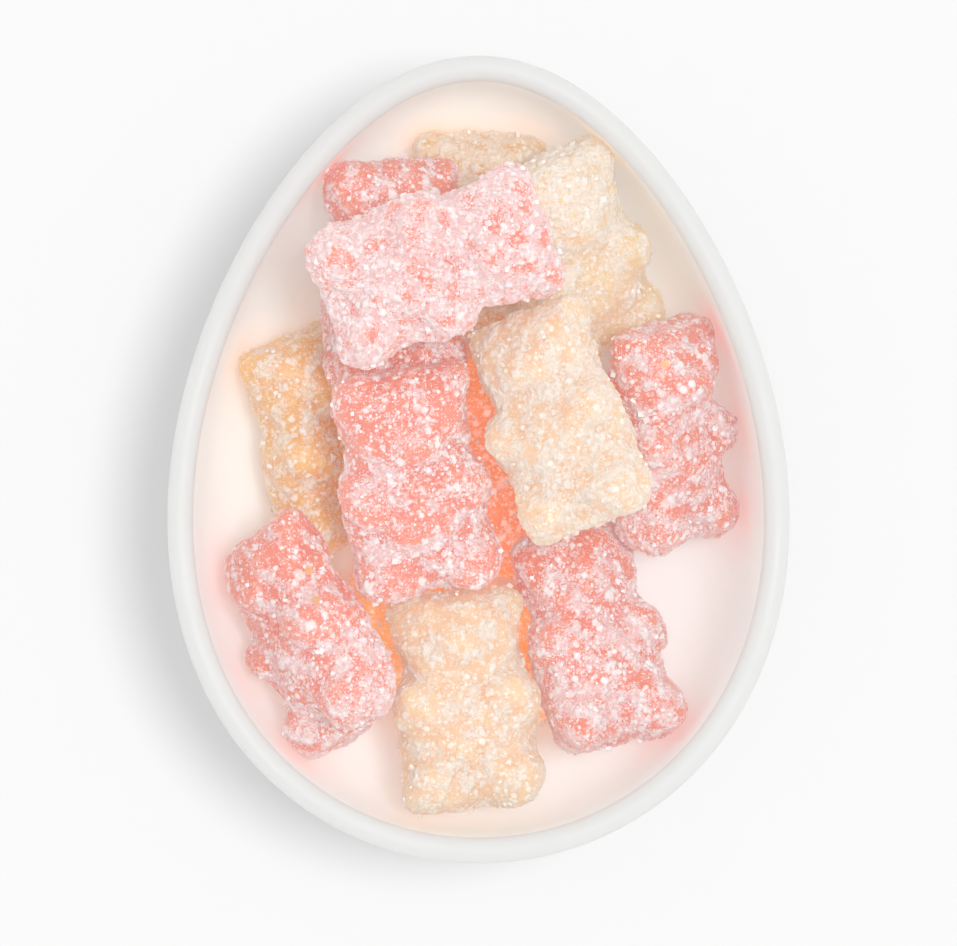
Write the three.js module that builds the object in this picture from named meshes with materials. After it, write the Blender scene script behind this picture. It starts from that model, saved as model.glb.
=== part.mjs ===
// Sugar-coated gummy bears heaped in an egg-shaped porcelain dish.
// Units are millimetres and +Z is up. +X is across the dish and +Y runs towards its narrow end.
// The origin is the middle of the dish's foot, on the surface that the dish stands on.

import * as THREE from 'three';

// ---------- driving dimensions ----------

// The dish is half an egg. Its outline is an ellipse whose width tapers towards +Y.
const DISH_LENGTH = 77;
const DISH_WIDTH = 58.6;
const DISH_HEIGHT = 28;
const EGG_TAPER = 0.162;      // how much narrower the +Y half is
const EGG_PINCH = 0.016;      // how much both ends are drawn in
const RIM_THICKNESS = 2.4;
const FLOOR_THICKNESS = 3;
const FOOT_SINK = 1.6;        // how much of the outer curve the flat foot cuts off
const FOOT_RECESS = 0.8;      // depth of the hollow inside the foot ring
const FOOT_RING_WIDTH = 2.2;
const OUTER_FULLNESS = 2.5;   // superellipse exponents: 2 is an ellipse, more is boxier
const INNER_FULLNESS = 2.8;
const DISH_SEGMENTS = 48;
const OUTER_STEPS = 8;
const RIM_STEPS = 5;
const INNER_STEPS = 9;
const TANGENT_STEP = 0.001;   // radians either side of a point, for the outline's direction there

// A bear of standard size, sugar coat included, lies along its own axes: X across, Y from feet to head,
// and Z from its flat back to its front.
const BEAR_SPINE = 11.5;      // length of the line that its surface is reached from
const BEAR_REACH = 12;        // no part of the surface is further from that line
const HALF_LENGTH = 11;
const BACK_PLANE = -4.9;      // where the mould's open side leaves the flat back
const FORM_FULLNESS = 2.4;    // superellipsoid exponent of every form
const FORM_BLEND = 1.6;       // radius that rounds one form into the next
const BACK_BLEND = 1.6;       // radius that rounds the edge of the back
const LUMP_HEIGHT = 0.16;     // unevenness of the surface
const LUMPS_ACROSS = 1.3;     // how fast the lumps follow each other, in radians a millimetre
const LUMPS_ALONG = 1.1;
const LUMPS_THROUGH = 1.7;
const LUMPS_SLANT = 0.9;
const SEARCH_STEP = 0.4;      // how coarsely a bear's surface is looked for, from outside
const SEARCH_HALVINGS = 20;   // and how often that step is then halved

// The forms that a bear is made of. A form off the middle line is made on both sides.
const BEAR_FORMS = [
  { name: 'head', at: [0, 6.4, -0.4], radii: [5.9, 4.8, 4.6] },
  { name: 'snout', at: [0, 5.4, 3.4], radii: [2.2, 1.8, 1.6] },
  { name: 'ear', at: [4.4, 9.2, -0.6], radii: [2.1, 2, 2.4] },
  { name: 'neck', at: [0, 2.2, -0.6], radii: [5.7, 3.4, 4.1] },
  { name: 'torso', at: [0, -3.4, -0.6], radii: [6.6, 7.4, 4.6] },
  { name: 'belly', at: [0, -2.6, 1], radii: [3.4, 3.6, 3.6] },
  { name: 'arm', at: [4.4, -0.2, 1.4], radii: [2.6, 2.5, 3.2] },
  { name: 'leg', at: [3.9, -8.2, 0.8], radii: [2.9, 2.8, 3.9] },
];

// Face counts of a bear: rows in each rounded end, rows between them, and sides round it.
const FINE = { endRows: 4, rows: 11, sides: 20 };
const COARSE = { endRows: 3, rows: 6, sides: 14 };

// Colours of the gummy, seen through its sugar.
const PINK = 0xf6aaa0;
const PEACH = 0xf8d6b0;
const ORANGE = 0xf5b987;
const CREAM = 0xf9e2bd;
const PORCELAIN = 0xf2f2ee;
const GLAZE_ROUGHNESS = 0.25;
const SUGAR_ROUGHNESS = 0.6;

// The bears, lowest first. at is the middle of the bear. In degrees, turn is measured from +Y anticlockwise,
// lift raises the head, and roll turns the bear about its own length. size scales it across, along and
// through, and bend curves it sideways. A gap of 0.1 to 0.7 is left between a bear and what it rests on.
const BEARS = [
  {
    name: 'bear_low_centre', colour: PINK, at: [0, -0.7, 8.4], detail: COARSE,
    turn: -2, lift: -1, roll: -2, size: [1, 0.95, 1], bend: 0.3,
  },
  {
    name: 'bear_low_bottom', colour: ORANGE, at: [-2.6, -17.9, 9.9], detail: COARSE,
    turn: 79, lift: 0, roll: 12, size: [0.97, 0.98, 0.96], bend: 0,
  },
  {
    name: 'bear_top_end', colour: ORANGE, at: [-0.2, 20.8, 11.6], detail: FINE,
    turn: 0, lift: 23, roll: -7, size: [1.02, 1, 1], bend: 0.2,
  },
  {
    name: 'bear_left', colour: ORANGE, at: [-15.4, 1.9, 12.3], detail: FINE,
    turn: 14, lift: 15, roll: 35, size: [1, 0.96, 1], bend: 0.3,
  },
  {
    name: 'bear_lower_right', colour: PINK, at: [11.4, -17, 17.4], detail: FINE,
    turn: 14, lift: -7, roll: 20, size: [0.97, 0.98, 0.98], bend: -0.5,
  },
  {
    name: 'bear_lower_left', colour: PINK, at: [-16.35, -16.9, 20.2], detail: FINE,
    turn: 28, lift: -9, roll: -56, size: [1.02, 0.99, 1], bend: 0.3,
  },
  {
    name: 'bear_right', colour: PINK, at: [18.4, 2.4, 18.6], detail: FINE,
    turn: 2, lift: 15, roll: 47, size: [0.95, 0.98, 0.98], bend: -0.5,
  },
  {
    name: 'bear_upper_right', colour: CREAM, at: [9.3, 19.2, 19.8], detail: FINE,
    turn: 16, lift: 33, roll: 22, size: [1, 1, 0.96], bend: 0.3,
  },
  {
    name: 'bear_top_left', colour: PINK, at: [-8.2, 17.8, 20.8], detail: FINE,
    turn: 0, lift: 11, roll: 19, size: [1.02, 1, 1], bend: 0,
  },
  {
    name: 'bear_bottom', colour: PEACH, at: [-1.5, -23.1, 20.1], detail: FINE,
    turn: 6, lift: -2, roll: 3, size: [1.01, 0.96, 1], bend: 0.3,
  },
  {
    name: 'bear_centre_left', colour: PINK, at: [-6, -2.1, 24.4], detail: FINE,
    turn: 9, lift: 19, roll: 4, size: [1.05, 1.01, 1], bend: -0.4,
  },
  {
    name: 'bear_centre_right', colour: PEACH, at: [7.6, 3.8, 26.9], detail: FINE,
    turn: 20, lift: -5, roll: -21, size: [0.98, 0.99, 0.96], bend: -0.3,
  },
  {
    name: 'bear_upper_left', colour: PINK, at: [-4.1, 18.5, 31.6], detail: FINE,
    turn: -70, lift: 2.5, roll: 12, size: [1.03, 1.03, 1], bend: -0.3,
  },
];

// ---------- the dish ----------

// A point of the egg outline. angle runs anticlockwise from the narrow end.
function eggOutline(angle) {
  const along = Math.cos(angle);
  const width = 1 - EGG_TAPER * along - EGG_PINCH * along * along;
  return new THREE.Vector2(-DISH_WIDTH / 2 * Math.sin(angle) * width, DISH_LENGTH / 2 * along);
}

// The same point with the outline shrunk to a share of its size and then set inwards.
function eggPoint(angle, share, inset) {
  const tangent = eggOutline(angle + TANGENT_STEP).sub(eggOutline(angle - TANGENT_STEP)).normalize();
  const inwards = new THREE.Vector2(-tangent.y, tangent.x);
  return eggOutline(angle).multiplyScalar(share).addScaledVector(inwards, inset);
}

// Section of a bowl-shaped wall, from its height 'from' up to its top, as shares of the outline.
function wall({ bottom, top, from, fullness, steps }) {
  const depth = top - bottom;
  const start = Math.acos((1 - (from - bottom) / depth) ** (fullness / 2));
  return Array.from({ length: steps + 1 }, (_, i) => {
    const a = start + (Math.PI / 2 - start) * i / steps;
    return {
      share: Math.sin(a) ** (2 / fullness),
      z: bottom + depth * (1 - Math.max(Math.cos(a), 0) ** (2 / fullness)),
    };
  });
}

// The points of the rim's half round, between the outer wall and the inner one.
function rimArc(radius, height) {
  return Array.from({ length: RIM_STEPS - 1 }, (_, i) => {
    const a = Math.PI * (i + 1) / RIM_STEPS;
    return { share: 1, inset: radius * (1 - Math.cos(a)), z: height + radius * Math.sin(a) };
  });
}

// The section of the dish, from the middle of its underside round the rim to the middle of its floor.
function dishSection() {
  const rimRadius = RIM_THICKNESS / 2;
  const rimHeight = DISH_HEIGHT - rimRadius;
  const outside = wall({
    bottom: -FOOT_SINK,
    top: rimHeight,
    from: 0,
    fullness: OUTER_FULLNESS,
    steps: OUTER_STEPS,
  });
  const inside = wall({
    bottom: FLOOR_THICKNESS,
    top: rimHeight,
    from: FLOOR_THICKNESS,
    fullness: INNER_FULLNESS,
    steps: INNER_STEPS,
  });
  const foot = outside[0].share;
  return [
    { share: 0, inset: 0, z: FOOT_RECESS },
    { share: foot, inset: FOOT_RING_WIDTH + FOOT_RECESS, z: FOOT_RECESS },
    { share: foot, inset: FOOT_RING_WIDTH, z: 0 },
    ...outside.map((p) => ({ ...p, inset: 0 })),
    ...rimArc(rimRadius, rimHeight),
    ...inside.map((p) => ({ ...p, inset: RIM_THICKNESS * p.share })).toReversed(),
  ];
}

// A lathe makes the faces, and then each of its vertices moves to the egg outline.
function dishGeometry() {
  const section = dishSection();
  const profile = section.map((p) => new THREE.Vector2(p.share, p.z));
  const geometry = new THREE.LatheGeometry(profile, DISH_SEGMENTS);
  const position = geometry.getAttribute('position');
  for (let i = 0; i < position.count; i++) {
    const { share, inset, z } = section[i % section.length];
    const turn = Math.floor(i / section.length) % DISH_SEGMENTS;
    const { x, y } = eggPoint(2 * Math.PI * turn / DISH_SEGMENTS, share, inset);
    position.setXYZ(i, x, y, z);
  }
  geometry.computeVertexNormals();
  return geometry;
}

function dishMesh() {
  const material = new THREE.MeshStandardMaterial({ color: PORCELAIN, roughness: GLAZE_ROUGHNESS });
  const mesh = new THREE.Mesh(dishGeometry(), material);
  mesh.name = 'dish';
  return mesh;
}

// ---------- the bears ----------

// Distance to a superellipsoid round the origin, close near its surface.
function formDistance(offset, radii) {
  const shares = offset.map((value, axis) => Math.abs(value) / radii[axis]);
  const k = shares.reduce((sum, share) => sum + share ** FORM_FULLNESS, 0) ** (1 / FORM_FULLNESS);
  const slope = Math.hypot(...shares.map((share, axis) => share ** (FORM_FULLNESS - 1) / radii[axis]));
  return slope === 0 ? -Math.min(...radii) : k ** (FORM_FULLNESS - 1) * (k - 1) / slope;
}

// The smaller of two distances, rounded where they meet.
function smoothMin(a, b, radius) {
  const h = Math.max(radius - Math.abs(a - b), 0) / radius;
  return Math.min(a, b) - h * h * radius / 4;
}

// Distance from a point to a bear's surface in the bear's own axes: negative inside.
function bearDistance(bear, point) {
  const [across, along, through] = bear.size;
  const y = point.y / along;
  const x = point.x / across - bear.bend * (1 - (y / HALF_LENGTH) ** 2);
  const z = point.z / through;
  let distance = Infinity;
  for (const { at, radii } of BEAR_FORMS) {
    const toForm = formDistance([Math.abs(x) - at[0], y - at[1], z - at[2]], radii);
    distance = smoothMin(distance, toForm, FORM_BLEND);
  }
  distance = -smoothMin(-distance, z - BACK_PLANE, BACK_BLEND);
  const phase = bear.turn + bear.roll;
  const flatLumps = Math.sin(LUMPS_ACROSS * x + phase) * Math.sin(LUMPS_ALONG * y - phase);
  const slantedLumps = Math.sin(LUMPS_THROUGH * z + LUMPS_SLANT * y + phase);
  return distance + LUMP_HEIGHT * (flatLumps + slantedLumps);
}

// How far along a ray from inside the bear its surface is. The search starts outside and walks in.
function surfaceAlong(bear, from, direction) {
  const point = new THREE.Vector3();
  const isOutside = (t) => bearDistance(bear, point.copy(from).addScaledVector(direction, t)) > 0;
  let outside = BEAR_REACH;
  while (isOutside(outside - SEARCH_STEP)) outside -= SEARCH_STEP;
  let inside = outside - SEARCH_STEP;
  for (let i = 0; i < SEARCH_HALVINGS; i++) {
    const middle = (inside + outside) / 2;
    if (isOutside(middle)) {
      outside = middle;
    } else {
      inside = middle;
    }
  }
  return outside;
}

// A thin capsule round the bear's spine, whose vertices are pushed out along their normals to its surface.
function bearGeometry(bear) {
  const { endRows, rows, sides } = bear.detail;
  const geometry = new THREE.CapsuleGeometry(1, BEAR_SPINE * bear.size[1], endRows, sides, rows);
  const position = geometry.getAttribute('position');
  const normal = geometry.getAttribute('normal');
  const point = new THREE.Vector3();
  const direction = new THREE.Vector3();
  for (let i = 0; i < position.count; i++) {
    direction.fromBufferAttribute(normal, i);
    point.fromBufferAttribute(position, i).sub(direction);
    point.addScaledVector(direction, surfaceAlong(bear, point, direction));
    position.setXYZ(i, point.x, point.y, point.z);
  }
  geometry.computeVertexNormals();
  return geometry;
}

function bearMesh(bear) {
  const material = new THREE.MeshStandardMaterial({ color: bear.colour, roughness: SUGAR_ROUGHNESS });
  const mesh = new THREE.Mesh(bearGeometry(bear), material);
  const [lift, roll, turn] = [bear.lift, bear.roll, bear.turn].map(THREE.MathUtils.degToRad);
  mesh.name = bear.name;
  mesh.position.set(...bear.at);
  mesh.rotation.set(lift, roll, turn, 'ZXY');
  return mesh;
}

// ---------- the whole ----------

const whole = new THREE.Group();
whole.add(dishMesh(), ...BEARS.map(bearMesh));

export default whole;
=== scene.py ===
"""Sugar-coated gummy bears heaped in an egg-shaped porcelain dish.

Shapes are worked out in millimetres with +Z up, and become metres where a mesh is made.
"""

import math

import bpy
import numpy as np
from mathutils import Euler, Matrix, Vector
from mathutils.kdtree import KDTree

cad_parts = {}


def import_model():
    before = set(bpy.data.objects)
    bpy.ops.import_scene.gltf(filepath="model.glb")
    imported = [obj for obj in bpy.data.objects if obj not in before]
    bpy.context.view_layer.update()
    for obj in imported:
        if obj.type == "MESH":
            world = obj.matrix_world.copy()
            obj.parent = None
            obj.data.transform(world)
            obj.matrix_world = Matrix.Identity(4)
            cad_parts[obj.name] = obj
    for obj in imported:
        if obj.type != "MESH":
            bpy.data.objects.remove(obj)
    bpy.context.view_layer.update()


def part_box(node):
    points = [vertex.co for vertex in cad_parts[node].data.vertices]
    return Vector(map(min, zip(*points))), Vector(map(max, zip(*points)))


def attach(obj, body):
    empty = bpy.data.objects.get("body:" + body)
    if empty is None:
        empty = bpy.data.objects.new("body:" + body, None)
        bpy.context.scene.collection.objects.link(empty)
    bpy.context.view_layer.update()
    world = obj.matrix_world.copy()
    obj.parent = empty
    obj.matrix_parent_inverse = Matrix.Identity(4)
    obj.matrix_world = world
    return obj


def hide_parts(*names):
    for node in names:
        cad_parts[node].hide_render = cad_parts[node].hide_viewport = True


MM = 0.001
SEED = 7

# ---------- the dish ----------

# Half an egg. Its outline is an ellipse whose width tapers towards +Y.
DISH_LENGTH = 77
DISH_WIDTH = 58.6
DISH_HEIGHT = 28
EGG_TAPER = 0.162
EGG_PINCH = 0.016
RIM_THICKNESS = 2.4
FLOOR_THICKNESS = 3
FOOT_SINK = 1.6
FOOT_RECESS = 0.8
FOOT_RING_WIDTH = 2.2
OUTER_FULLNESS = 2.5
INNER_FULLNESS = 2.8
DISH_SEGMENTS = 240
OUTER_STEPS = 40
RIM_STEPS = 14
INNER_STEPS = 44
FOOT_STEPS = 4
TANGENT_STEP = 0.001

# ---------- the bears ----------

# A standard bear along its own axes: X across, Y from feet to head, Z from its flat back to its front.
BEAR_SPINE = 11.5
BEAR_REACH = 12
HALF_LENGTH = 11
BACK_PLANE = -4.9
FORM_FULLNESS = 2.4
FORM_BLEND = 1.6
BACK_BLEND = 1.6
LUMP_HEIGHT = 0.16
LUMPS_ACROSS = 1.3
LUMPS_ALONG = 1.1
LUMPS_THROUGH = 1.7
LUMPS_SLANT = 0.9
SEARCH_STEP = 0.4
SEARCH_HALVINGS = 12

# Centre and radii of each form that a bear is made of. A form off the middle line is made on both sides.
BEAR_FORMS = {
    "head": ((0, 6.4, -0.4), (5.9, 4.8, 4.6)),
    "snout": ((0, 5.4, 3.4), (2.2, 1.8, 1.6)),
    "ear": ((4.4, 9.2, -0.6), (2.1, 2, 2.4)),
    "neck": ((0, 2.2, -0.6), (5.7, 3.4, 4.1)),
    "torso": ((0, -3.4, -0.6), (6.6, 7.4, 4.6)),
    "belly": ((0, -2.6, 1), (3.4, 3.6, 3.6)),
    "arm": ((4.4, -0.2, 1.4), (2.6, 2.5, 3.2)),
    "leg": ((3.9, -8.2, 0.8), (2.9, 2.8, 3.9)),
}

# The bears, lowest first. In degrees, turn is measured from +Y anticlockwise, lift raises the head, and
# roll turns a bear about its own length. size scales it across, along and through, and bend curves it
# sideways. frost is how much more fine sugar it has than the others, at its head and at its feet.
BEARS = {
    "bear_low_centre": {
        "gummy": "pink", "frost": (-0.3, -0.3), "turn": -2, "lift": -1, "roll": -2,
        "size": (1, 0.95, 1), "bend": 0.3,
    },
    "bear_low_bottom": {
        "gummy": "orange", "frost": (-0.3, -0.3), "turn": 79, "lift": 0, "roll": 12,
        "size": (0.97, 0.98, 0.96), "bend": 0,
    },
    "bear_top_end": {
        "gummy": "orange", "frost": (0.3, 0.1), "turn": 0, "lift": 23, "roll": -7,
        "size": (1.02, 1, 1), "bend": 0.2,
    },
    "bear_left": {
        "gummy": "orange", "frost": (-0.06, 0.02), "turn": 14, "lift": 15, "roll": 35,
        "size": (1, 0.96, 1), "bend": 0.3,
    },
    "bear_lower_right": {
        "gummy": "pink", "frost": (0.02, 0.1), "turn": 14, "lift": -7, "roll": 20,
        "size": (0.97, 0.98, 0.98), "bend": -0.5,
    },
    "bear_lower_left": {
        "gummy": "pink", "frost": (-0.22, 0.18), "turn": 28, "lift": -9, "roll": -56,
        "size": (1.02, 0.99, 1), "bend": 0.3,
    },
    "bear_right": {
        "gummy": "pink", "frost": (-0.02, 0.1), "turn": 2, "lift": 15, "roll": 47,
        "size": (0.95, 0.98, 0.98), "bend": -0.5,
    },
    "bear_upper_right": {
        "gummy": "cream", "frost": (0.3, -0.26), "turn": 16, "lift": 33, "roll": 22,
        "size": (1, 1, 0.96), "bend": 0.3,
    },
    "bear_top_left": {
        "gummy": "pink", "frost": (-0.06, -0.06), "turn": 0, "lift": 11, "roll": 19,
        "size": (1.02, 1, 1), "bend": 0,
    },
    "bear_bottom": {
        "gummy": "peach", "frost": (-0.1, 0.02), "turn": 6, "lift": -2, "roll": 3,
        "size": (1.01, 0.96, 1), "bend": 0.3,
    },
    "bear_centre_left": {
        "gummy": "pink", "frost": (-0.18, 0.02), "turn": 9, "lift": 19, "roll": 4,
        "size": (1.05, 1.01, 1), "bend": -0.4,
    },
    "bear_centre_right": {
        "gummy": "peach", "frost": (0.08, 0.14), "turn": 20, "lift": -5, "roll": -21,
        "size": (0.98, 0.99, 0.96), "bend": -0.3,
    },
    "bear_upper_left": {
        "gummy": "pink", "frost": (0.2, 0.26), "turn": -70, "lift": 2.5, "roll": 12,
        "size": (1.03, 1.03, 1), "bend": -0.3,
    },
}

# Where the sugar came off: a spot's middle across and along the dish, and how large it is.
BARE_SPOTS = {
    "bear_lower_left": ((-16.2, -10.6, 0.45), (-15.5, -13.4, 0.5)),
    "bear_right": ((17.8, 9.1, 0.45),),
}

# How finely a bear's skin is divided, and how far below the sugar's outside it lies.
SKIN_SIDES = 200
SKIN_ROWS = 64
SKIN_END_ROWS = 50
SUGAR_DEPTH = 0.25
CREASE_REACH = 1.4          # how far out from the skin a crease is looked for
SLOPE_STEP = 0.05
LEAST_SLOPE = 1e-9

# ---------- the sugar ----------

# Most crystals are lumps in the skin. Loose ones lie on it as small blocks.
GRAINS_PER_BEAR = 2800
GRAIN_SIZE = 0.22           # middle size, from its centre to a side
GRAIN_SPREAD = 0.35         # share by which sizes differ
GRAIN_HEIGHT = 0.55         # share of its size by which a grain stands out
GRAIN_SQUARENESS = 4        # 2 for a ball, more for a block
GRAIN_LEAST_WHITE = 0.35
NEAREST_GRAINS = 3          # how many grains are tried at each point of the skin
CRYSTALS_OFF_FROST = 0.35   # how many crystals lie where there is no frost, against 1 more in full frost
BLOCKS_PER_BEAR = 200
BLOCK_SIZE = 0.3            # middle size, from side to side
BLOCK_LARGEST = 0.5
BLOCK_SIDES = (0.7, 1.2)    # how its three sides differ
BLOCK_JITTER = 0.28         # how uneven a block's corners are
BLOCK_LIFT = (-0.1, 0.35)   # how far its middle is above the skin, as a share of its size
BLOCK_ROUGHNESS = 0.25

# Frost is the fine sugar under the grains. It is thickest in creases and comes in patches.
FROST_PATCH = 2.4           # from one patch to the next
FROST_WAVES = 24
FROST_UNEVENNESS = 0.16
FROST_IN_CREASES = 0.52
FROST_ON_SIDES = 0.12
FROST_MIDDLE = 0.1

# Its edges are broken up by noise. Its thickness and the noise are added up with these weights to this start,
# and the gummy is covered in part or in full where the sum lies in the range or beyond it.
FROST_COVER = (1.1, 2, -1.05)
FROST_COVER_RANGE = (0.05, 0.5)
FROST_NOISE = 2600              # waves in a metre
FROST_ROUGHNESS = (0.3, 0.55)   # of bare gummy and of frost

# Dots are fine crystals drawn by the material. A cell of it holds a dot if its chance and the frost there
# add up to more than nothing. Sizes are of cells. Other measures without a unit are shares of a cell.
DOT_SIZES = (0.2, 0.31, 0.46)
DOT_SPREAD = 0.6
DOTS_IN_FROST = 0.7
DOT_LEAST = -0.19
DOT_SOFTNESS = 0.05
DOT_CENTRE = (0.1, 0.25)    # how far in from a dot's edge its clearer centre begins and is full
CENTRE_CLEARNESS = 0.5
DOT_RELIEF = 0.8            # how far a dot stands out, against 1 for frost
DOT_RAGGEDNESS = 0.14       # how far the dots' edges wander, in millimetres
DOT_NOISE = 5200            # waves in a metre

SUGAR_RELIEF = (0.7, 0.12)      # how strong the relief of dots and frost is, and the height that 1 stands for
GRAIN_WHITENESS = (0.5, 1.1)    # the range of whiteness over which a grain comes to hide what is under it
BARENESS_RANGE = (0.2, 0.8)     # the same for a spot that lost its sugar
SUGAR_OPACITY = 0.65            # how much of the light into the gummy a crystal stops
FROST_OPACITY = 0.2

# ---------- colours ----------

# Linear colours of the bare gummy, of its frost and of its grains, and of the spots that lost their sugar.
GUMMY = {
    "pink": (0.78, 0.182, 0.12),
    "orange": (0.81, 0.39, 0.14),
    "peach": (0.8, 0.47, 0.265),
    "cream": (0.8, 0.515, 0.275),
}
FROST = {
    "pink": (0.79, 0.39, 0.37),
    "orange": (0.83, 0.56, 0.37),
    "peach": (0.79, 0.575, 0.42),
    "cream": (0.82, 0.63, 0.46),
}
GRAIN = {
    "pink": (0.9, 0.88, 0.88),
    "orange": (0.88, 0.79, 0.69),
    "peach": (0.86, 0.79, 0.7),
    "cream": (0.87, 0.8, 0.73),
}
BARE_SPOT = (0.82, 0.37, 0.15)

# How deep light goes into the gummy, and how far red, green and blue come as shares of that.
GUMMY_DEPTH = 6
GUMMY_LIGHT_REACH = (1, 0.7, 0.55)

# The two lowest bears get a painted glow, emission that stands in for the light that reaches them through the
# bears above them. The others get a painted glow on their steep sides, as a share of their frost's colour,
# for the light that leaves the gummy there. The power says how steep a side has to be.
PAINTED_GLOW_FROM_ABOVE = 0.42
PAINTED_GLOW_COLOUR = (1, 0.2, 0.05)
PAINTED_GLOW_IN_SIDES = 0.21
STEEPNESS_POWER = 1.6

# Linear colours of the glaze inside the dish, and on its rim and outside. The glaze is one white all over:
# the darker rim and outside are painted shade, which evens them out with the less well lit inside, and the
# inside's lower red is a painted offset to the pink light that the bears throw on it.
PORCELAIN = (0.885, 0.975, 0.98)
PORCELAIN_RIM = (0.52, 0.53, 0.52)
PORCELAIN_UNEVENNESS = 0.04
RIM_FADE = 1.5              # how far below the rim the rim's painted shade gives way to the inside's colour
PAINTED_TINT_STRENGTH = 0.38        # how strongly a bear's painted coloured light tints the porcelain that it touches
PAINTED_GLOW_STRENGTH = 0.45        # how strong the painted glow is that a bear gives the porcelain, for the light it passes on
GLOW_REACH = 1.4            # how far away both fall to about a third

# How deep light goes into the dish, its shares for red, green and blue, and the slow waves in its glaze.
GLAZE_DEPTH = 5
GLAZE_LIGHT_REACH = (1, 0.95, 0.9)
GLAZE_SHINE = 0.3
GLAZE_WAVES = 90            # waves in a metre
GLAZE_WAVE_RANGE = (0.3, 0.7)
GLAZE_ROUGHNESS = (0.42, 0.52)
GLAZE_RELIEF = (0.3, 0.25)  # how strong it is, and the height that 1 stands for

# ---------- floor, light and camera ----------

FLOOR = (0.69, 0.69, 0.69)
FLOOR_ROUGHNESS = 0.9
FLOOR_HALF = 1500           # from its middle to a side

LIGHT_BOUNCES = 3
SKY_AT_HORIZON = 1.3
SKY_OVERHEAD = 0.37
# Lamps: how much light each gives a level floor, degrees from +X towards +Y, degrees above level, and
# how many degrees across each looks.
LAMPS = {
    "key": (0.54, 10, 77.5, 14),
    "overhead": (0.18, 0, 90, 4),
}

GAMMA = 1.5
FRAME_WIDTH = 957
FRAME_HEIGHT = 946
MM_PER_PIXEL = 0.0952
DISH_MIDDLE = (478.5, 459.5)    # where the dish's middle is in the frame, in pixels from its top left
CAMERA_DISTANCE = 900
SENSOR = 36


# ---------- meshes ----------

def make_piece(name, points, triangles, smooth=True):
    """An object from points in millimetres and triangles."""
    mesh = bpy.data.meshes.new(name)
    mesh.vertices.add(len(points))
    mesh.vertices.foreach_set("co", (points * MM).astype(np.float32).ravel())
    mesh.loops.add(triangles.size)
    mesh.loops.foreach_set("vertex_index", triangles.astype(np.int32).ravel())
    mesh.polygons.add(len(triangles))
    mesh.polygons.foreach_set("loop_start", np.arange(0, triangles.size, 3, dtype=np.int32))
    mesh.polygons.foreach_set("use_smooth", np.full(len(triangles), smooth))
    mesh.update(calc_edges=True)
    piece = bpy.data.objects.new(name, mesh)
    bpy.context.scene.collection.objects.link(piece)
    return piece


def set_attribute(piece, name, values):
    """Stores one number for each vertex."""
    attribute = piece.data.attributes.new(name, "FLOAT", "POINT")
    attribute.data.foreach_set("value", values.astype(np.float32))


def set_colours(piece, name, colours):
    """Stores one linear colour for each vertex."""
    attribute = piece.data.attributes.new(name, "FLOAT_COLOR", "POINT")
    opaque = np.column_stack([colours, np.ones(len(colours))])
    attribute.data.foreach_set("color", opaque.astype(np.float32).ravel())


def ring_triangles(rings, sides):
    """Faces of a closed skin: a first point, rings of points one after the other, and a last point."""
    ring, side = np.meshgrid(np.arange(rings - 1), np.arange(sides), indexing="ij")
    here = 1 + ring * sides + side
    beside = 1 + ring * sides + (side + 1) % sides
    between = np.concatenate([
        np.stack([here, beside, beside + sides], axis=-1).reshape(-1, 3),
        np.stack([here, beside + sides, here + sides], axis=-1).reshape(-1, 3),
    ])
    side = np.arange(sides)
    beside = (side + 1) % sides
    last_ring = 1 + (rings - 1) * sides
    first_end = np.stack([0 * side, 1 + beside, 1 + side], axis=1)
    last_end = np.stack([0 * side + last_ring + sides, last_ring + side, last_ring + beside], axis=1)
    return np.concatenate([between, first_end, last_end])


# ---------- the dish ----------

def egg_outline(angle):
    """Points of the dish's outline, at angles from +Y anticlockwise."""
    along = np.cos(angle)
    width = 1 - EGG_TAPER * along - EGG_PINCH * along**2
    return np.stack([-DISH_WIDTH / 2 * np.sin(angle) * width, DISH_LENGTH / 2 * along], axis=1)


def egg_inwards(angle):
    """Unit vectors that point inwards from the outline."""
    tangent = egg_outline(angle + TANGENT_STEP) - egg_outline(angle - TANGENT_STEP)
    tangent /= np.linalg.norm(tangent, axis=1, keepdims=True)
    return np.stack([-tangent[:, 1], tangent[:, 0]], axis=1)


def wall(bottom, top, start, fullness, steps):
    """Section of a bowl-shaped wall from the height start to its top: shares of the outline, and heights."""
    depth = top - bottom
    first = math.acos((1 - (start - bottom) / depth) ** (fullness / 2))
    a = np.linspace(first, math.pi / 2, steps + 1)
    return np.sin(a) ** (2 / fullness), bottom + depth * (1 - np.clip(np.cos(a), 0, 1) ** (2 / fullness))


def dish_section():
    """Rows of (share of the outline, inset, height) from the underside round the rim to the floor inside."""
    radius = RIM_THICKNESS / 2
    rim = DISH_HEIGHT - radius
    share, height = wall(-FOOT_SINK, rim, 0, OUTER_FULLNESS, OUTER_STEPS)
    foot = share[0]
    step = np.arange(1, FOOT_STEPS + 1) / FOOT_STEPS
    recess = np.stack([foot * step, (FOOT_RING_WIDTH + FOOT_RECESS) * step, 0 * step + FOOT_RECESS], axis=1)
    outside = np.stack([share, 0 * share, height], axis=1)
    turn = np.pi * np.arange(1, RIM_STEPS) / RIM_STEPS
    lip = np.stack([0 * turn + 1, radius * (1 - np.cos(turn)), rim + radius * np.sin(turn)], axis=1)
    share, height = wall(FLOOR_THICKNESS, rim, FLOOR_THICKNESS, INNER_FULLNESS, INNER_STEPS)
    inside = np.stack([share, RIM_THICKNESS * share, height], axis=1)[:0:-1]
    return np.vstack([recess, [(foot, FOOT_RING_WIDTH, 0)], outside, lip, inside])


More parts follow.
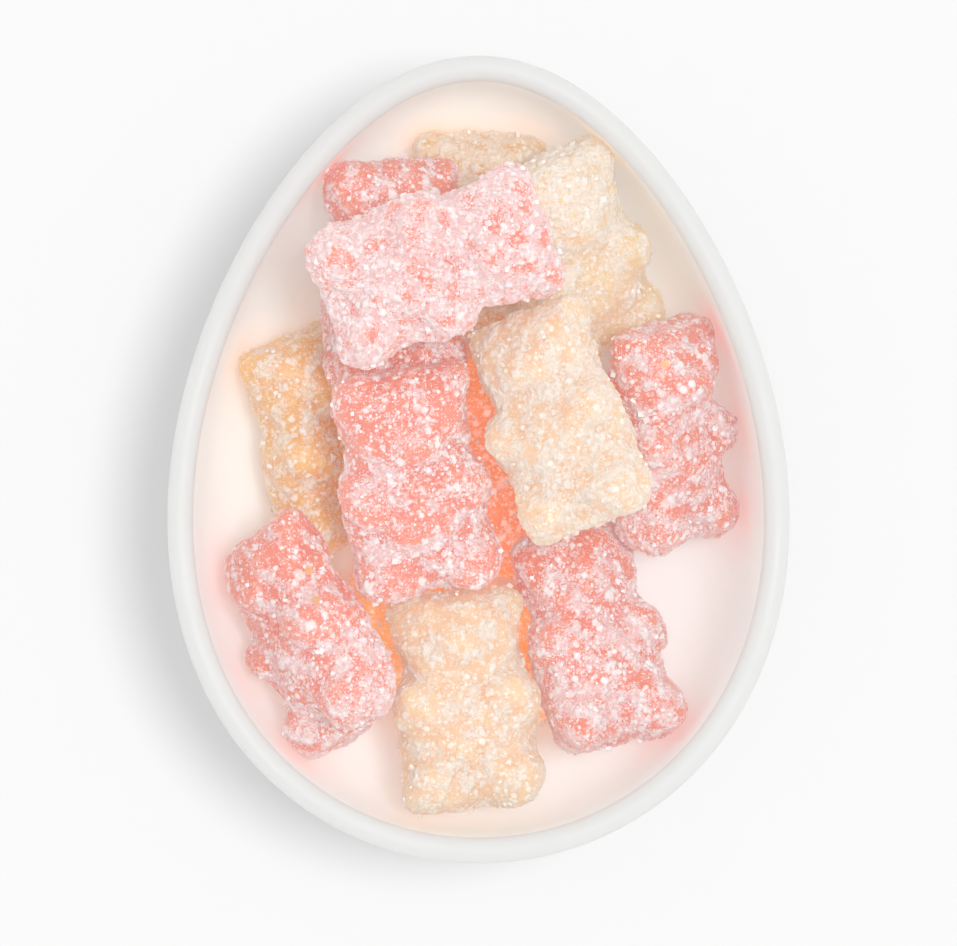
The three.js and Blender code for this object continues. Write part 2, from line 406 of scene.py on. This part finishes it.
def porcelain_colours(points, placed):
    """Porcelain at points of the dish's inside, painted darker near the rim, with the painted tint and glow
    of bears beside them.
    """
    # Painted shade: the rim's darker colour, fading into the inside's lighter one below it.
    below_rim = np.clip((DISH_HEIGHT - RIM_THICKNESS / 2 - points[:, 2:]) / RIM_FADE, 0, 1)
    colours = np.array(PORCELAIN_RIM) + (np.array(PORCELAIN) - PORCELAIN_RIM) * below_rim
    painted_glow = np.zeros_like(colours)
    for bear, turn, place in placed:
        distance = np.clip(bear_distance(bear, (points - place) @ turn), 0, None)
        nearness = np.exp(-distance / GLOW_REACH)[:, None]
        gummy = np.array(GUMMY[bear["gummy"]])
        # Painted coloured light: the porcelain takes on some of the colour of a bear close by.
        colours *= 1 - PAINTED_TINT_STRENGTH * nearness * (1 - gummy)
        # Painted glow: emission for the light that a bear passes on to the porcelain.
        through_twice = gummy**2
        painted_glow = np.maximum(painted_glow, PAINTED_GLOW_STRENGTH * nearness * through_twice)
    return colours, painted_glow


def make_dish(placed):
    """The dish, with a painted tint and a painted glow where the bears are."""
    section = dish_section()
    angle = 2 * np.pi * np.arange(DISH_SEGMENTS) / DISH_SEGMENTS
    outline = egg_outline(angle)
    inwards = egg_inwards(angle)
    rings = [
        np.column_stack([outline * share + inwards * inset, np.full(DISH_SEGMENTS, height)])
        for share, inset, height in section
    ]
    points = np.vstack([[(0, 0, FOOT_RECESS)], *rings, [(0, 0, FLOOR_THICKNESS)]])
    dish = make_piece("porcelain_dish", points, ring_triangles(len(section), DISH_SEGMENTS))
    inside = INNER_STEPS * DISH_SEGMENTS + 1
    # Painted shade: the outside and rim take the rim's darker colour.
    colours = np.tile(PORCELAIN_RIM, (len(points), 1))
    painted_glow = np.zeros_like(colours)
    colours[-inside:], painted_glow[-inside:] = porcelain_colours(points[-inside:], placed)
    set_colours(dish, "porcelain", colours)
    set_colours(dish, "painted_glow", painted_glow)
    dish.data.materials.append(porcelain_material())
    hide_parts("dish")
    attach(dish, "root")


# ---------- the bears ----------

def form_distance(points, centre, radii):
    """Distance to a superellipsoid, close near its surface."""
    shares = np.abs(points - np.array(centre)) / np.array(radii)
    k = (shares**FORM_FULLNESS).sum(axis=1) ** (1 / FORM_FULLNESS)
    slope = np.linalg.norm(shares ** (FORM_FULLNESS - 1) / np.array(radii), axis=1)
    return k ** (FORM_FULLNESS - 1) * (k - 1) / np.maximum(slope, LEAST_SLOPE)


def smooth_min(a, b, radius):
    """The smaller of two distances, rounded off where they are nearly the same."""
    h = np.maximum(radius - np.abs(a - b), 0) / radius
    return np.minimum(a, b) - h * h * radius / 4


def bear_distance(bear, points):
    """Distance from points, in the bear's own axes, to the outside of its sugar: negative inside."""
    across, along, through = bear["size"]
    y = points[:, 1] / along
    x = points[:, 0] / across - bear["bend"] * (1 - (y / HALF_LENGTH) ** 2)
    z = points[:, 2] / through
    folded = np.stack([np.abs(x), y, z], axis=1)
    forms = iter(BEAR_FORMS.values())
    distance = form_distance(folded, *next(forms))
    for form in forms:
        distance = smooth_min(distance, form_distance(folded, *form), FORM_BLEND)
    distance = -smooth_min(-distance, z - BACK_PLANE, BACK_BLEND)
    phase = bear["turn"] + bear["roll"]
    flat_lumps = np.sin(LUMPS_ACROSS * x + phase) * np.sin(LUMPS_ALONG * y - phase)
    slanted_lumps = np.sin(LUMPS_THROUGH * z + LUMPS_SLANT * y + phase)
    return distance + LUMP_HEIGHT * (flat_lumps + slanted_lumps)


def straight_out(bear, points):
    """Unit vectors straight out of the bear at points."""
    steps = np.eye(3) * SLOPE_STEP
    rises = [bear_distance(bear, points + step) - bear_distance(bear, points - step) for step in steps]
    slope = np.stack(rises, axis=1)
    return slope / np.linalg.norm(slope, axis=1, keepdims=True)


def capsule_rays(spine):
    """Starts and directions of rays that leave a line along Y, ring by ring from foot end to head end."""
    tilt = np.linspace(0, np.pi / 2, SKIN_END_ROWS + 1)
    rows = [(-spine / 2, -t) for t in tilt[:0:-1]]
    rows += [(y, 0) for y in np.linspace(-spine / 2, spine / 2, SKIN_ROWS + 1)]
    rows += [(spine / 2, t) for t in tilt[1:]]
    side = 2 * np.pi * np.arange(SKIN_SIDES) / SKIN_SIDES
    starts, directions = [], []
    for i, (y, t) in enumerate(rows):
        turn = side[:1] if i in (0, len(rows) - 1) else side
        starts.append(np.stack([0 * turn, 0 * turn + y, 0 * turn], axis=1))
        direction = [np.cos(t) * np.cos(turn), 0 * turn + np.sin(t), -np.cos(t) * np.sin(turn)]
        directions.append(np.stack(direction, axis=1))
    return np.vstack(starts), np.vstack(directions), len(rows) - 2


def reach_surface(bear, starts, directions, depth):
    """Where each ray last leaves the bear, at a depth below its outside."""
    def is_outside(t):
        return bear_distance(bear, starts + directions * t[:, None]) + depth > 0

    outside = np.full(len(starts), float(BEAR_REACH))
    searching = np.ones(len(starts), bool)
    while searching.any():
        searching &= is_outside(outside - SEARCH_STEP)
        outside -= SEARCH_STEP * searching
    inside = outside - SEARCH_STEP
    for _ in range(SEARCH_HALVINGS):
        middle = (inside + outside) / 2
        out = is_outside(middle)
        outside = np.where(out, middle, outside)
        inside = np.where(out, inside, middle)
    return starts + directions * outside[:, None]


def bear_turn(bear):
    """The bear's rotation: it rolls first, then lifts, then turns."""
    angles = [math.radians(bear[name]) for name in ("lift", "roll", "turn")]
    return np.array(Euler(angles, "YXZ").to_matrix())


def bear_place(bear, node, outside):
    """Where the middle of the bear is in the dish, from the box of its CAD node."""
    turned = outside @ bear_turn(bear).T
    low, high = (np.array(corner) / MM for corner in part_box(node))
    return (low + high) / 2 - (turned.min(axis=0) + turned.max(axis=0)) / 2


def find_creases(bear, skin, out):
    """From 0 on rounded places to 1 deep in a crease."""
    room = bear_distance(bear, skin + out * (CREASE_REACH + SUGAR_DEPTH)) / CREASE_REACH
    return np.clip(1 - room, 0, 1)


def make_bear(node, bear, rng):
    """Makes a bear with its sugar. Gives back how it lies, for the dish's painted tint and painted glow."""
    starts, directions, rings = capsule_rays(BEAR_SPINE * bear["size"][1])
    skin = reach_surface(bear, starts, directions, SUGAR_DEPTH)
    triangles = ring_triangles(rings, SKIN_SIDES)
    out = straight_out(bear, skin)
    crease = find_creases(bear, skin, out)
    turn = bear_turn(bear)
    place = bear_place(bear, node, skin + out * SUGAR_DEPTH)
    along = skin[:, 1]
    skin = skin @ turn.T + place
    out = out @ turn.T
    frost = find_frost(bear, along, skin, out, crease, rng)
    at, _, _ = scatter(skin, triangles, out, frost, GRAINS_PER_BEAR, rng)
    height, whiteness = grow_grains(skin, at, rng)
    bareness = find_bareness(node, skin, out)
    height *= 1 - bareness
    body = make_piece(node.replace("bear", "gummy"), skin + out * height[:, None], triangles)
    set_attribute(body, "frost", frost)
    set_attribute(body, "grain", whiteness)
    set_attribute(body, "bareness", bareness)
    # The light colours are a painted glow, given off as emission.
    set_colours(body, "light", find_painted_glow(node, bear, out))
    body.data.materials.append(gummy_material(bear["gummy"]))
    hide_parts(node)
    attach(body, "root")
    make_blocks(node, bear, scatter(skin, triangles, out, frost, BLOCKS_PER_BEAR, rng), rng)
    return bear, turn, place


def find_painted_glow(node, bear, out):
    """Painted glow, as emission: light through the bears above for the lowest two, light out of steep sides
    for the rest.
    """
    # Painted glow all over the two lowest bears, for light through the bears above them.
    if "_low_" in node:
        return np.tile(np.array(PAINTED_GLOW_COLOUR) * PAINTED_GLOW_FROM_ABOVE, (len(out), 1))
    # Painted glow on steep sides, for light that leaves the gummy there.
    steepness = (1 - np.clip(out[:, 2:], 0, 1)) ** STEEPNESS_POWER
    return PAINTED_GLOW_IN_SIDES * steepness * FROST[bear["gummy"]]


# ---------- the sugar ----------

def mottle(points, size, rng):
    """Smooth random values about 0, mostly within 1, that change over this distance."""
    waves = rng.normal(size=(FROST_WAVES, 3))
    waves *= 2 * np.pi / size / np.linalg.norm(waves, axis=1, keepdims=True)
    phases = rng.uniform(0, 2 * np.pi, FROST_WAVES)
    return np.cos(points @ waves.T + phases).sum(axis=1) / math.sqrt(FROST_WAVES / 2)


def find_bareness(node, skin, out):
    """From 0 where sugar lies to 1 in the middle of a spot that it came off."""
    bareness = np.zeros(len(skin))
    for x, y, size in BARE_SPOTS.get(node, ()):
        away = ((skin[:, :2] - (x, y)) ** 2).sum(axis=1) / size**2
        bareness = np.maximum(bareness, np.exp(-(away**2)) * (out[:, 2] > 0))
    return bareness


def find_frost(bear, along, skin, out, crease, rng):
    """How thick fine sugar lies, from 0 to 1. along runs from the feet to the head."""
    patches = FROST_UNEVENNESS * mottle(skin, FROST_PATCH, rng)
    sides = FROST_ON_SIDES * (1 - np.clip(out[:, 2], 0, 1))
    at_head, at_feet = bear["frost"]
    amount = FROST_MIDDLE + np.interp(along, (-HALF_LENGTH, HALF_LENGTH), (at_feet, at_head))
    return np.clip(amount + patches + FROST_IN_CREASES * crease + sides, 0, 1)


def scatter(points, triangles, out, frost, count, rng):
    """Places for crystals, thickest where frost is, with their directions out and the frost there."""
    a, b, c = (points[triangles[:, i]] for i in range(3))
    weight = np.linalg.norm(np.cross(b - a, c - a), axis=1) * (CRYSTALS_OFF_FROST + frost[triangles[:, 0]])
    chosen = rng.choice(len(triangles), count, p=weight / weight.sum())
    u, v = rng.random((2, count))
    over = u + v > 1
    u, v = np.where(over, 1 - u, u), np.where(over, 1 - v, v)
    share = np.stack([1 - u - v, u, v], axis=1)
    corners = triangles[chosen]
    at = np.einsum("nk,nkj->nj", share, points[corners])
    direction = np.einsum("nk,nkj->nj", share, out[corners])
    return at, direction, np.einsum("nk,nk->n", share, frost[corners])


def random_turns(count, rng):
    """Random rotation matrices."""
    matrices, _ = np.linalg.qr(rng.normal(size=(count, 3, 3)))
    return matrices * np.sign(np.linalg.det(matrices))[:, None, None]


def grow_grains(skin, at, rng):
    """How far grains at these places raise each point of the skin, and how white they make it."""
    tree = KDTree(len(at))
    for i, place in enumerate(at):
        tree.insert(place, i)
    tree.balance()
    nearest = np.array([[found[1] for found in tree.find_n(point, NEAREST_GRAINS)] for point in skin])
    size = GRAIN_SIZE * np.exp(GRAIN_SPREAD * rng.normal(size=len(at)))
    white = rng.uniform(GRAIN_LEAST_WHITE, 1, len(at))
    offset = (skin[:, None] - at[nearest]) / size[nearest][..., None]
    turned = np.einsum("nkji,nkj->nki", random_turns(len(at), rng)[nearest], offset)
    roundness = 1 - (turned**GRAIN_SQUARENESS).sum(axis=2)
    swell = np.sqrt(np.clip(roundness, 0, 1))
    return (GRAIN_HEIGHT * size[nearest] * swell).max(axis=1), (white[nearest] * swell).max(axis=1)


CUBE = np.array([(x, y, z) for z in (-1, 1) for y in (-1, 1) for x in (-1, 1)]) / 2
CUBE_TRIANGLES = np.array([
    (0, 2, 3), (0, 3, 1), (4, 5, 7), (4, 7, 6), (0, 1, 5), (0, 5, 4),
    (2, 6, 7), (2, 7, 3), (0, 4, 6), (0, 6, 2), (1, 3, 7), (1, 7, 5),
])


def make_blocks(node, bear, places, rng):
    """Loose crystals on a bear, as one mesh."""
    at, direction, frost = places
    count = len(at)
    size = np.minimum(BLOCK_SIZE * np.exp(GRAIN_SPREAD * rng.normal(size=count)), BLOCK_LARGEST)
    sides = size[:, None] * rng.uniform(*BLOCK_SIDES, (count, 3))
    corners = CUBE * (1 + BLOCK_JITTER * rng.uniform(-1, 1, (count, 8, 3)))
    corners = np.einsum("nij,nkj->nki", random_turns(count, rng), corners * sides[:, None, :])
    lift = rng.uniform(*BLOCK_LIFT, count) * size
    corners += (at + direction * lift[:, None])[:, None, :]
    faces = CUBE_TRIANGLES + 8 * np.arange(count)[:, None, None]
    name = node.replace("bear", "sugar")
    blocks = make_piece(name, corners.reshape(-1, 3), faces.reshape(-1, 3), smooth=False)
    set_attribute(blocks, "whiteness", np.repeat(rng.random(count), 8))
    blocks.data.materials.append(sugar_material(bear["gummy"]))
    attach(blocks, "root")


# ---------- materials ----------

# Where a Mix node has its two colours and their blend, among sockets for other kinds of data.
MIX_COLOUR_INPUTS = (6, 7)
MIX_COLOUR_OUTPUT = 2


def new_material(name):
    """A material with a Principled shader, and that shader. Light that it gives off is too weak to aim at."""
    material = bpy.data.materials.new(name)
    material.use_nodes = True
    material.cycles.emission_sampling = "NONE"
    return material, material.node_tree.nodes["Principled BSDF"]


def add_node(material, kind, inputs, **settings):
    """A shader node. Its inputs, by name or number, hold these numbers or are linked to these outputs."""
    tree = material.node_tree
    node = tree.nodes.new("ShaderNode" + kind)
    for name, value in settings.items():
        setattr(node, name, value)
    for name, value in inputs.items():
        if isinstance(value, bpy.types.NodeSocket):
            tree.links.new(value, node.inputs[name])
        else:
            node.inputs[name].default_value = value
    return node


def object_place(material):
    """A point's place in the piece, in metres."""
    return add_node(material, "TexCoord", {}).outputs["Object"]


def noise(material, place, scale, detail):
    """Smooth noise with this many waves in a metre."""
    return add_node(material, "TexNoise", {"Vector": place, "Scale": scale, "Detail": detail}).outputs


def attribute(material, name):
    """A number that the mesh holds at each vertex."""
    return add_node(material, "Attribute", {}, attribute_name=name).outputs["Fac"]


def ramp(material, value, low, high, to_low=0, to_high=1):
    """Carries the range low to high smoothly over to another, and stays at its ends beyond them."""
    inputs = {"Value": value, "From Min": low, "From Max": high, "To Min": to_low, "To Max": to_high}
    return add_node(material, "MapRange", inputs, interpolation_type="SMOOTHSTEP").outputs["Result"]


def weighted_sum(material, terms, start=0):
    """start plus each output times its weight."""
    total = start
    for output, weight in terms:
        inputs = {0: output, 1: weight, 2: total}
        total = add_node(material, "Math", inputs, operation="MULTIPLY_ADD").outputs[0]
    return total


def blend_colours(material, share, first, second):
    """A colour between two others. Each is an output or a linear colour."""
    inputs = {0: share}
    for number, colour in zip(MIX_COLOUR_INPUTS, (first, second)):
        inputs[number] = colour if isinstance(colour, bpy.types.NodeSocket) else (*colour, 1)
    return add_node(material, "Mix", inputs, data_type="RGBA").outputs[MIX_COLOUR_OUTPUT]


def link(material, output, shader, name):
    """Links an output to an input of the shader."""
    material.node_tree.links.new(output, shader.inputs[name])


def add_bump(material, shader, height, strength, distance):
    """Relief from a height, where 1 stands for this distance in millimetres."""
    inputs = {"Height": height, "Strength": strength, "Distance": distance * MM}
    link(material, add_node(material, "Bump", inputs).outputs["Normal"], shader, "Normal")


def porcelain_material():
    """Soft white glaze, faintly uneven, with the painted light, shade and glow that its mesh holds."""
    material, shader = new_material("porcelain")
    place = object_place(material)
    wave = noise(material, place, GLAZE_WAVES, detail=2)["Fac"]
    # These colours hold the painted shade on the rim and outside, and the painted tint near the bears.
    colour = add_node(material, "Attribute", {}, attribute_name="porcelain").outputs["Color"]
    tone = ramp(material, wave, *GLAZE_WAVE_RANGE, 0, PORCELAIN_UNEVENNESS)
    link(material, blend_colours(material, tone, colour, PORCELAIN_RIM), shader, "Base Color")
    # Painted glow: the mesh's glow colours, given off as emission.
    painted_glow = add_node(material, "Attribute", {}, attribute_name="painted_glow").outputs["Color"]
    link(material, painted_glow, shader, "Emission Color")
    shader.inputs["Emission Strength"].default_value = 1
    link(material, ramp(material, wave, *GLAZE_WAVE_RANGE, *GLAZE_ROUGHNESS), shader, "Roughness")
    add_bump(material, shader, wave, *GLAZE_RELIEF)
    shader.inputs["Specular IOR Level"].default_value = GLAZE_SHINE
    shader.inputs["Subsurface Weight"].default_value = 1
    shader.inputs["Subsurface Radius"].default_value = GLAZE_LIGHT_REACH
    shader.inputs["Subsurface Scale"].default_value = GLAZE_DEPTH * MM
    shader.subsurface_method = "BURLEY"
    return material


def sugar_dots(material, place, frost, size):
    """Fine crystals this many millimetres apart, most where frost is: their cover, and how white each is."""
    cells = add_node(material, "TexVoronoi", {"Vector": place, "Scale": 1 / (size * MM)})
    chance = add_node(material, "SeparateColor", {0: cells.outputs["Color"]}).outputs
    reach = weighted_sum(material, [(chance["Red"], DOT_SPREAD), (frost, DOTS_IN_FROST)], DOT_LEAST)
    edge = weighted_sum(material, [(cells.outputs["Distance"], -1)], reach)
    white = weighted_sum(material, [(ramp(material, edge, *DOT_CENTRE), -CENTRE_CLEARNESS)], chance["Green"])
    return ramp(material, edge, 0, DOT_SOFTNESS), white


def gummy_material(gummy):
    """Translucent gummy under a coat of frost and grains, with the painted glow that its mesh holds."""
    material, shader = new_material(gummy + "_gummy")
    # Painted glow: the mesh's light colours, given off as emission.
    painted_glow_inside = add_node(material, "Attribute", {}, attribute_name="light").outputs["Color"]
    link(material, painted_glow_inside, shader, "Emission Color")
    shader.inputs["Emission Strength"].default_value = 1
    place = object_place(material)
    rough = noise(material, place, DOT_NOISE, detail=1)["Color"]
    moved = {0: rough, 1: [DOT_RAGGEDNESS * MM] * 3, 2: place}
    place = add_node(material, "VectorMath", moved, operation="MULTIPLY_ADD").outputs[0]
    fine = noise(material, place, FROST_NOISE, detail=2)["Fac"]
    thickness = attribute(material, "frost")
    of_thickness, of_noise, start = FROST_COVER
    cover = weighted_sum(material, [(thickness, of_thickness), (fine, of_noise)], start)
    frost = ramp(material, cover, *FROST_COVER_RANGE)
    colour = blend_colours(material, frost, GUMMY[gummy], FROST[gummy])
    height = frost
    sugar = weighted_sum(material, [(frost, FROST_OPACITY)])
    for size in DOT_SIZES:
        dots, white = sugar_dots(material, place, thickness, size)
        crystal = blend_colours(material, white, FROST[gummy], GRAIN[gummy])
        colour = blend_colours(material, dots, colour, crystal)
        height = weighted_sum(material, [(dots, DOT_RELIEF)], height)
        sugar = weighted_sum(material, [(dots, SUGAR_OPACITY)], sugar)
    grain = ramp(material, attribute(material, "grain"), *GRAIN_WHITENESS)
    sugar = weighted_sum(material, [(grain, SUGAR_OPACITY)], sugar)
    colour = blend_colours(material, grain, colour, GRAIN[gummy])
    bareness = ramp(material, attribute(material, "bareness"), *BARENESS_RANGE)
    link(material, blend_colours(material, bareness, colour, BARE_SPOT), shader, "Base Color")
    link(material, ramp(material, sugar, 0, 1, 1, 0), shader, "Subsurface Weight")
    link(material, ramp(material, frost, 0, 1, *FROST_ROUGHNESS), shader, "Roughness")
    add_bump(material, shader, height, *SUGAR_RELIEF)
    shader.inputs["Subsurface Radius"].default_value = GUMMY_LIGHT_REACH
    shader.inputs["Subsurface Scale"].default_value = GUMMY_DEPTH * MM
    return material


def sugar_material(gummy):
    """Sugar crystals, each a little clearer or whiter than the next."""
    material, shader = new_material(gummy + "_sugar")
    whiteness = attribute(material, "whiteness")
    link(material, blend_colours(material, whiteness, FROST[gummy], GRAIN[gummy]), shader, "Base Color")
    shader.inputs["Roughness"].default_value = BLOCK_ROUGHNESS
    return material


# ---------- the studio ----------

def make_floor():
    """A pale level floor."""
    corners = FLOOR_HALF * np.array([(-1, -1, 0), (1, -1, 0), (1, 1, 0), (-1, 1, 0)])
    floor = make_piece("floor", corners, np.array([(0, 1, 2), (0, 2, 3)]))
    material, shader = new_material("floor")
    shader.inputs["Base Color"].default_value = (*FLOOR, 1)
    shader.inputs["Roughness"].default_value = FLOOR_ROUGHNESS
    floor.data.materials.append(material)


def make_light():
    """A white sky, brighter at the horizon, and soft lamps."""
    world = bpy.data.worlds.new("studio")
    world.use_nodes = True
    direction = add_node(world, "TexCoord", {}).outputs["Generated"]
    height = add_node(world, "SeparateXYZ", {0: direction}).outputs["Z"]
    inputs = {"Value": height, "To Min": SKY_AT_HORIZON, "To Max": SKY_OVERHEAD}
    strength = add_node(world, "MapRange", inputs)
    sky = world.node_tree.nodes["Background"]
    sky.inputs["Color"].default_value = (1, 1, 1, 1)
    link(world, strength.outputs["Result"], sky, "Strength")
    bpy.context.scene.world = world
    for name, (share, azimuth, elevation, width) in LAMPS.items():
        light = bpy.data.lights.new(name, "SUN")
        light.energy = math.pi * share / math.sin(math.radians(elevation))
        light.angle = math.radians(width)
        lamp = bpy.data.objects.new(name, light)
        lamp.rotation_euler = (0, math.radians(90 - elevation), math.radians(azimuth))
        bpy.context.scene.collection.objects.link(lamp)


def make_camera():
    """A camera straight above, far enough away that the dish's wall barely leans."""
    camera = bpy.data.cameras.new("camera")
    camera.sensor_width = SENSOR
    camera.lens = SENSOR * CAMERA_DISTANCE / (FRAME_WIDTH * MM_PER_PIXEL)
    holder = bpy.data.objects.new("camera", camera)
    right = (FRAME_WIDTH / 2 - DISH_MIDDLE[0]) * MM_PER_PIXEL
    up = (DISH_MIDDLE[1] - FRAME_HEIGHT / 2) * MM_PER_PIXEL
    holder.location = (right * MM, up * MM, (DISH_HEIGHT + CAMERA_DISTANCE) * MM)
    bpy.context.scene.collection.objects.link(holder)
    bpy.context.scene.camera = holder


def main():
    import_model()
    scene = bpy.context.scene
    scene.view_settings.view_transform = "Standard"
    scene.view_settings.gamma = GAMMA
    scene.cycles.max_bounces = LIGHT_BOUNCES
    scene.cycles.diffuse_bounces = LIGHT_BOUNCES
    make_camera()
    make_light()
    make_floor()
    rng = np.random.default_rng(SEED)
    make_dish([make_bear(node, bear, rng) for node, bear in BEARS.items()])


main()
